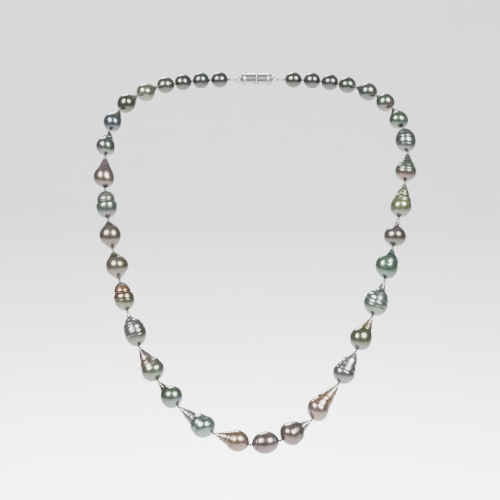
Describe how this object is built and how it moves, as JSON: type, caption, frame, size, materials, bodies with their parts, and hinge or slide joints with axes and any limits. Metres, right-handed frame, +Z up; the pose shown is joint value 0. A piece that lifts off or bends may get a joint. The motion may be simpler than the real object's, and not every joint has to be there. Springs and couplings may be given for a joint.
{
  "type": "pearl necklace",
  "caption": "Knotted strand of dark baroque, drop and circled pearls on silk thread with a magnetic barrel clasp, shaped as worn around a neck.",
  "frame": {"origin": "centre of the closed clasp at the nape of the neck", "axes": "-Y forward to the front of the wearer, +X to the right as seen from the front, +Z up"},
  "size_m": [0.1319, 0.0919, 0.1457],
  "materials": {
    "nacre_01": "lustrous nacre with overtones",
    "nacre_02": "lustrous nacre with overtones",
    "nacre_03": "lustrous nacre with overtones",
    "nacre_04": "lustrous nacre with overtones",
    "nacre_05": "lustrous nacre with overtones",
    "nacre_06": "lustrous nacre with overtones",
    "nacre_07": "lustrous nacre with overtones",
    "nacre_08": "lustrous nacre with overtones",
    "nacre_09": "lustrous nacre with overtones",
    "nacre_10": "lustrous nacre with overtones",
    "nacre_11": "lustrous nacre with overtones",
    "nacre_12": "lustrous nacre with overtones",
    "nacre_13": "lustrous nacre with overtones",
    "nacre_14": "lustrous nacre with overtones",
    "nacre_15": "lustrous nacre with overtones",
    "nacre_16": "lustrous nacre with overtones",
    "nacre_17": "lustrous nacre with overtones",
    "nacre_18": "lustrous nacre with overtones",
    "nacre_19": "lustrous nacre with overtones",
    "nacre_20": "lustrous nacre with overtones",
    "nacre_21": "lustrous nacre with overtones",
    "nacre_22": "lustrous nacre with overtones",
    "nacre_23": "lustrous nacre with overtones",
    "nacre_24": "lustrous nacre with overtones",
    "nacre_25": "lustrous nacre with overtones",
    "nacre_26": "lustrous nacre with overtones",
    "nacre_27": "lustrous nacre with overtones",
    "nacre_28": "lustrous nacre with overtones",
    "nacre_29": "lustrous nacre with overtones",
    "nacre_30": "lustrous nacre with overtones",
    "nacre_31": "lustrous nacre with overtones",
    "nacre_32": "lustrous nacre with overtones",
    "nacre_33": "lustrous nacre with overtones",
    "nacre_34": "lustrous nacre with overtones",
    "nacre_35": "lustrous nacre with overtones",
    "nacre_36": "lustrous nacre with overtones",
    "silk": "twisted silk",
    "clasp_metal": "polished rhodium-plated silver",
    "magnet": "nickel-plated magnet",
    "gimp_wire": "fine coiled wire"
  },
  "bodies": {
    "pearl_01": {"pearl_01": "nacre_01", "gimp_left": "gimp_wire"},
    "pearl_02": {"pearl_02": "nacre_02"},
    "pearl_03": {"pearl_03": "nacre_03"},
    "pearl_04": {"pearl_04": "nacre_04"},
    "pearl_05": {"pearl_05": "nacre_05"},
    "pearl_06": {"pearl_06": "nacre_06"},
    "pearl_07": {"pearl_07": "nacre_07"},
    "pearl_08": {"pearl_08": "nacre_08"},
    "pearl_09": {"pearl_09": "nacre_09"},
    "pearl_10": {"pearl_10": "nacre_10"},
    "pearl_11": {"pearl_11": "nacre_11"},
    "pearl_12": {"pearl_12": "nacre_12"},
    "pearl_13": {"pearl_13": "nacre_13"},
    "pearl_14": {"pearl_14": "nacre_14"},
    "pearl_15": {"pearl_15": "nacre_15"},
    "pearl_16": {"pearl_16": "nacre_16"},
    "pearl_17": {"pearl_17": "nacre_17"},
    "pearl_18": {"pearl_18": "nacre_18"},
    "pearl_19": {"pearl_19": "nacre_19", "silk_thread": "silk"},
    "pearl_20": {"pearl_20": "nacre_20"},
    "pearl_21": {"pearl_21": "nacre_21"},
    "pearl_22": {"pearl_22": "nacre_22"},
    "pearl_23": {"pearl_23": "nacre_23"},
    "pearl_24": {"pearl_24": "nacre_24"},
    "pearl_25": {"pearl_25": "nacre_25"},
    "pearl_26": {"pearl_26": "nacre_26"},
    "pearl_27": {"pearl_27": "nacre_27"},
    "pearl_28": {"pearl_28": "nacre_28"},
    "pearl_29": {"pearl_29": "nacre_29"},
    "pearl_30": {"pearl_30": "nacre_30"},
    "pearl_31": {"pearl_31": "nacre_31"},
    "pearl_32": {"pearl_32": "nacre_32"},
    "pearl_33": {"pearl_33": "nacre_33"},
    "pearl_34": {"pearl_34": "nacre_34"},
    "pearl_35": {"pearl_35": "nacre_35"},
    "pearl_36": {"pearl_36": "nacre_36", "gimp_right": "gimp_wire"},
    "clasp_left": {"clasp_shell_left": "clasp_metal", "magnet_left": "magnet", "clasp_eye_left": "clasp_metal"},
    "clasp_right": {"clasp_shell_right": "clasp_metal", "magnet_right": "magnet", "clasp_eye_right": "clasp_metal"}
  },
  "joints": [
    {"name": "knot_18_19", "type": "hinge", "parent": "pearl_19", "child": "pearl_18", "pos_m": [-0.00258, -0.08497, -0.13834], "axis": [-0.0264, -0.9997, 0.0008], "range_deg": [0, 30], "deforming": ["silk_thread"]},
    {"name": "knot_17_18", "type": "hinge", "parent": "pearl_18", "child": "pearl_17", "pos_m": [-0.01714, -0.08359, -0.13407], "axis": [0.4374, -0.0522, 0.8978], "range_deg": [0, 30], "deforming": ["silk_thread"]},
    {"name": "knot_16_17", "type": "hinge", "parent": "pearl_17", "child": "pearl_16", "pos_m": [-0.03131, -0.08005, -0.12405], "axis": [-0.2668, -0.9628, 0.0425], "range_deg": [0, 30], "deforming": ["silk_thread"]},
    {"name": "knot_15_16", "type": "hinge", "parent": "pearl_16", "child": "pearl_15", "pos_m": [-0.03959, -0.07649, -0.11427], "axis": [0.7568, -0.2195, 0.6157], "range_deg": [-30, 30], "deforming": ["silk_thread"]},
    {"name": "knot_14_15", "type": "hinge", "parent": "pearl_15", "child": "pearl_14", "pos_m": [-0.04739, -0.07184, -0.10136], "axis": [-0.4044, -0.9052, 0.1304], "range_deg": [0, 30], "deforming": ["silk_thread"]},
    {"name": "knot_13_14", "type": "hinge", "parent": "pearl_14", "child": "pearl_13", "pos_m": [-0.05228, -0.06699, -0.08769], "axis": [-0.8485, 0.3493, -0.3977], "range_deg": [-30, 30], "deforming": ["silk_thread"]},
    {"name": "knot_12_13", "type": "hinge", "parent": "pearl_13", "child": "pearl_12", "pos_m": [-0.05568, -0.06261, -0.07559], "axis": [-0.4728, -0.8602, 0.191], "range_deg": [0, 30], "deforming": ["silk_thread"]},
    {"name": "knot_11_12", "type": "hinge", "parent": "pearl_12", "child": "pearl_11", "pos_m": [-0.05856, -0.05826, -0.06389], "axis": [0.8435, -0.4177, 0.3376], "range_deg": [-30, 30], "deforming": ["silk_thread"]},
    {"name": "knot_10_11", "type": "hinge", "parent": "pearl_11", "child": "pearl_10", "pos_m": [-0.06071, -0.05379, -0.05208], "axis": [-0.5177, -0.8245, 0.2285], "range_deg": [0, 30], "deforming": ["silk_thread"]},
    {"name": "knot_09_10", "type": "hinge", "parent": "pearl_10", "child": "pearl_09", "pos_m": [-0.06199, -0.0495, -0.04007], "axis": [-0.8471, 0.4796, -0.2289], "range_deg": [-30, 30], "deforming": ["silk_thread"]},
    {"name": "knot_08_09", "type": "hinge", "parent": "pearl_09", "child": "pearl_08", "pos_m": [-0.06224, -0.0446, -0.02718], "axis": [-0.5369, -0.7459, 0.3942], "range_deg": [0, 30], "deforming": ["silk_thread"]},
    {"name": "knot_07_08", "type": "hinge", "parent": "pearl_08", "child": "pearl_07", "pos_m": [-0.06074, -0.03837, -0.01731], "axis": [0.8403, -0.5189, 0.157], "range_deg": [-30, 30], "deforming": ["silk_thread"]},
    {"name": "knot_06_07", "type": "hinge", "parent": "pearl_07", "child": "pearl_06", "pos_m": [-0.05685, -0.03052, -0.00946], "axis": [-0.2535, -0.5186, 0.8166], "range_deg": [0, 30], "deforming": ["silk_thread"]},
    {"name": "knot_05_06", "type": "hinge", "parent": "pearl_06", "child": "pearl_05", "pos_m": [-0.0499, -0.02297, -0.00417], "axis": [-0.7056, 0.4244, 0.5675], "range_deg": [0, 30], "deforming": ["silk_thread"]},
    {"name": "knot_04_05", "type": "hinge", "parent": "pearl_05", "child": "pearl_04", "pos_m": [-0.04186, -0.01629, -0.00146], "axis": [0.5078, -0.7637, 0.3987], "range_deg": [0, 30], "deforming": ["silk_thread"]},
    {"name": "knot_03_04", "type": "hinge", "parent": "pearl_04", "child": "pearl_03", "pos_m": [-0.03477, -0.01098, -0.00049], "axis": [-0.1485, 0.0727, 0.9862], "range_deg": [0, 30], "deforming": ["silk_thread"]},
    {"name": "knot_02_03", "type": "hinge", "parent": "pearl_03", "child": "pearl_02", "pos_m": [-0.02746, -0.00627, -0.00003], "axis": [0.4884, -0.8714, 0.046], "range_deg": [0, 30], "deforming": ["silk_thread"]},
    {"name": "knot_01_02", "type": "hinge", "parent": "pearl_02", "child": "pearl_01", "pos_m": [-0.01981, -0.00257, 0.00014], "axis": [-0.002, 0.0006, 1], "range_deg": [0, 30], "deforming": ["silk_thread"]},
    {"name": "link_left", "type": "hinge", "parent": "pearl_01", "child": "clasp_left", "pos_m": [-0.0081, 0, 0], "axis": [0, 1, 0], "range_deg": [-30, 30], "deforming": ["silk_thread"]},
    {"name": "knot_19_20", "type": "hinge", "parent": "pearl_19", "child": "pearl_20", "pos_m": [0.00946, -0.08429, -0.13666], "axis": [-0.1297, 0.9913, -0.0242], "range_deg": [0, 30], "deforming": ["silk_thread"]},
    {"name": "knot_20_21", "type": "hinge", "parent": "pearl_20", "child": "pearl_21", "pos_m": [0.02183, -0.08155, -0.12913], "axis": [0.6539, 0.1009, -0.7498], "range_deg": [-30, 30], "deforming": ["silk_thread"]},
    {"name": "knot_21_22", "type": "hinge", "parent": "pearl_21", "child": "pearl_22", "pos_m": [0.03269, -0.07658, -0.11536], "axis": [-0.3151, 0.9419, -0.1162], "range_deg": [0, 30], "deforming": ["silk_thread"]},
    {"name": "knot_22_23", "type": "hinge", "parent": "pearl_22", "child": "pearl_23", "pos_m": [0.04002, -0.0722, -0.10265], "axis": [-0.8168, -0.2473, 0.5213], "range_deg": [-30, 30], "deforming": ["silk_thread"]},
    {"name": "knot_23_24", "type": "hinge", "parent": "pearl_23", "child": "pearl_24", "pos_m": [0.04656, -0.06787, -0.0895], "axis": [-0.4019, 0.9066, -0.1291], "range_deg": [0, 30], "deforming": ["silk_thread"]},
    {"name": "knot_24_25", "type": "hinge", "parent": "pearl_24", "child": "pearl_25", "pos_m": [0.05185, -0.06308, -0.0754], "axis": [0.8462, 0.3565, -0.3959], "range_deg": [-30, 30], "deforming": ["silk_thread"]},
    {"name": "knot_25_26", "type": "hinge", "parent": "pearl_25", "child": "pearl_26", "pos_m": [0.05521, -0.05868, -0.06275], "axis": [-0.4768, 0.8584, -0.1891], "range_deg": [0, 30], "deforming": ["silk_thread"]},
    {"name": "knot_26_27", "type": "hinge", "parent": "pearl_26", "child": "pearl_27", "pos_m": [0.0577, -0.05454, -0.05142], "axis": [-0.8408, -0.4235, 0.3372], "range_deg": [-30, 30], "deforming": ["silk_thread"]},
    {"name": "knot_27_28", "type": "hinge", "parent": "pearl_27", "child": "pearl_28", "pos_m": [0.06059, -0.04917, -0.03738], "axis": [-0.5421, 0.8052, -0.2402], "range_deg": [0, 30], "deforming": ["silk_thread"]},
    {"name": "knot_28_29", "type": "hinge", "parent": "pearl_28", "child": "pearl_29", "pos_m": [0.06201, -0.04399, -0.02577], "axis": [0.8257, 0.4924, -0.2752], "range_deg": [-30, 30], "deforming": ["silk_thread"]},
    {"name": "knot_29_30", "type": "hinge", "parent": "pearl_29", "child": "pearl_30", "pos_m": [0.0606, -0.03734, -0.01618], "axis": [-0.4858, 0.5839, -0.6504], "range_deg": [0, 30], "deforming": ["silk_thread"]},
    {"name": "knot_30_31", "type": "hinge", "parent": "pearl_30", "child": "pearl_31", "pos_m": [0.05639, -0.02985, -0.00887], "axis": [-0.8417, -0.5282, -0.1122], "range_deg": [-30, 30], "deforming": ["silk_thread"]},
    {"name": "knot_31_32", "type": "hinge", "parent": "pearl_31", "child": "pearl_32", "pos_m": [0.05011, -0.02316, -0.00427], "axis": [0.2327, 0.6466, -0.7265], "range_deg": [0, 30], "deforming": ["silk_thread"]},
    {"name": "knot_32_33", "type": "hinge", "parent": "pearl_32", "child": "pearl_33", "pos_m": [0.04186, -0.01629, -0.00146], "axis": [-0.3909, -0.2145, -0.8951], "range_deg": [0, 30], "deforming": ["silk_thread"]},
    {"name": "knot_33_34", "type": "hinge", "parent": "pearl_33", "child": "pearl_34", "pos_m": [0.03477, -0.01098, -0.00049], "axis": [0.5557, 0.8188, -0.144], "range_deg": [0, 30], "deforming": ["silk_thread"]},
    {"name": "knot_34_35", "type": "hinge", "parent": "pearl_34", "child": "pearl_35", "pos_m": [0.02746, -0.00627, -0.00003], "axis": [-0.0541, -0.0224, -0.9983], "range_deg": [0, 30], "deforming": ["silk_thread"]},
    {"name": "knot_35_36", "type": "hinge", "parent": "pearl_35", "child": "pearl_36", "pos_m": [0.01981, -0.00257, 0.00014], "axis": [0.3694, 0.9293, -0.0013], "range_deg": [0, 30], "deforming": ["silk_thread"]},
    {"name": "link_right", "type": "hinge", "parent": "pearl_36", "child": "clasp_right", "pos_m": [0.0081, 0, 0], "axis": [0, -1, 0], "range_deg": [-30, 30], "deforming": ["silk_thread"]}
  ]
}
